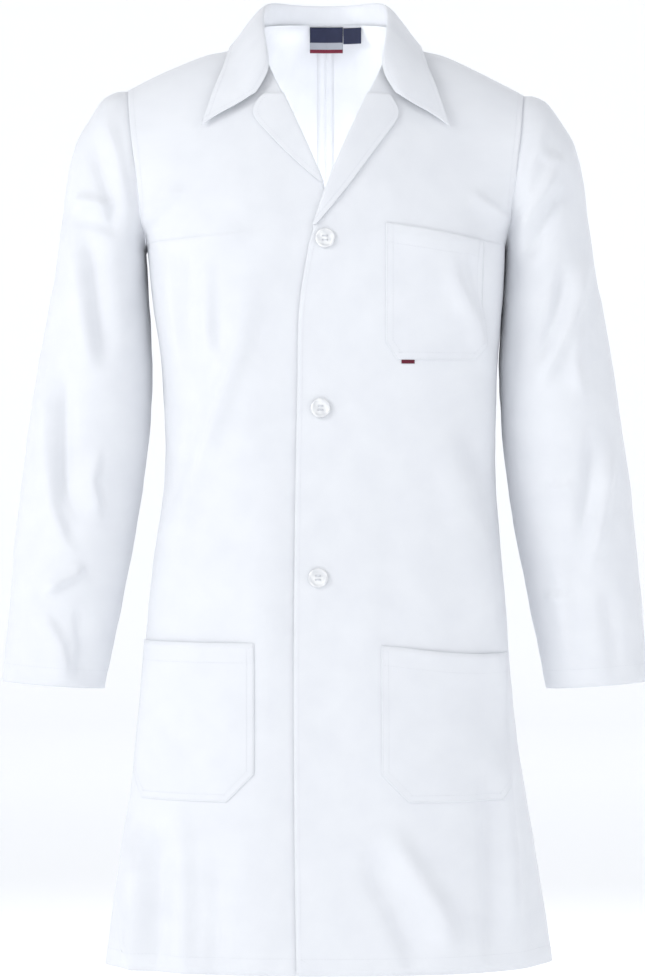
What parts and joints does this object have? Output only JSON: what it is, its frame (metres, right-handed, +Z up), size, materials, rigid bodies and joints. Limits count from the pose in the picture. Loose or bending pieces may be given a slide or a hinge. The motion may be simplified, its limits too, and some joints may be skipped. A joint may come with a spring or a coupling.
{
  "type": "lab coat",
  "caption": "Knee-length white lab coat with a turned-down collar and lapels, long sleeves, chest and hip patch pockets and a buttoned front, shaped as if worn.",
  "frame": {"origin": "middle of the back neck seam, where the coat hangs from a wearer or a hook", "axes": "+Z up, the front faces -Y, +X is the wearer's left"},
  "size_m": [0.71, 0.3, 1.0593],
  "materials": {
    "cloth": "matte",
    "stiffener": "matte",
    "button": "gloss",
    "thread": "matte",
    "label": "satin",
    "tab": "matte"
  },
  "bodies": {
    "coat": {"front_left": "cloth", "front_right": "cloth", "back_left": "cloth", "back_right": "cloth", "facing_left": "cloth", "facing_right": "cloth", "interlining_left": "stiffener", "interlining_right": "stiffener", "under_collar": "cloth", "collar_interlining": "stiffener", "top_collar": "cloth", "chest_pocket": "cloth", "hip_pocket_left": "cloth", "hip_pocket_right": "cloth", "pocket_tab": "tab"},
    "sleeve_left": {"sleeve_left": "cloth"},
    "sleeve_right": {"sleeve_right": "cloth"},
    "neck_label": {"neck_label": "label"},
    "size_label": {"size_label": "label"},
    "button_top": {"button_top": "button", "button_thread_top": "thread"},
    "button_middle": {"button_middle": "button", "button_thread_middle": "thread"},
    "button_bottom": {"button_bottom": "button", "button_thread_bottom": "thread"}
  },
  "joints": [
    {"name": "sleeve_left_swing", "type": "hinge", "parent": "coat", "child": "sleeve_left", "pos_m": [0.2188, -0.072, -0.087], "axis": [0, -1, 0], "range_deg": [0, 65]},
    {"name": "sleeve_right_swing", "type": "hinge", "parent": "coat", "child": "sleeve_right", "pos_m": [-0.2188, -0.072, -0.087], "axis": [0, 1, 0], "range_deg": [0, 65]},
    {"name": "button_top_twist", "type": "hinge", "parent": "coat", "child": "button_top", "pos_m": [-0.00053, -0.20129, -0.252], "axis": [0, -1, 0], "range_deg": [-35, 35]},
    {"name": "button_middle_twist", "type": "hinge", "parent": "coat", "child": "button_middle", "pos_m": [-0.00538, -0.19668, -0.433], "axis": [0, -1, 0], "range_deg": [-35, 35]},
    {"name": "button_bottom_twist", "type": "hinge", "parent": "coat", "child": "button_bottom", "pos_m": [-0.00799, -0.20348, -0.614], "axis": [0, -1, 0], "range_deg": [-35, 35]},
    {"name": "neck_label_flip", "type": "hinge", "parent": "coat", "child": "neck_label", "pos_m": [0.001, -0.0038, -0.0029], "axis": [-1, 0, 0], "range_deg": [0, 70]},
    {"name": "size_label_flip", "type": "hinge", "parent": "coat", "child": "size_label", "pos_m": [0.03, -0.008, -0.0039], "axis": [-0.9497, 0.3132, 0], "range_deg": [0, 45]}
  ]
}
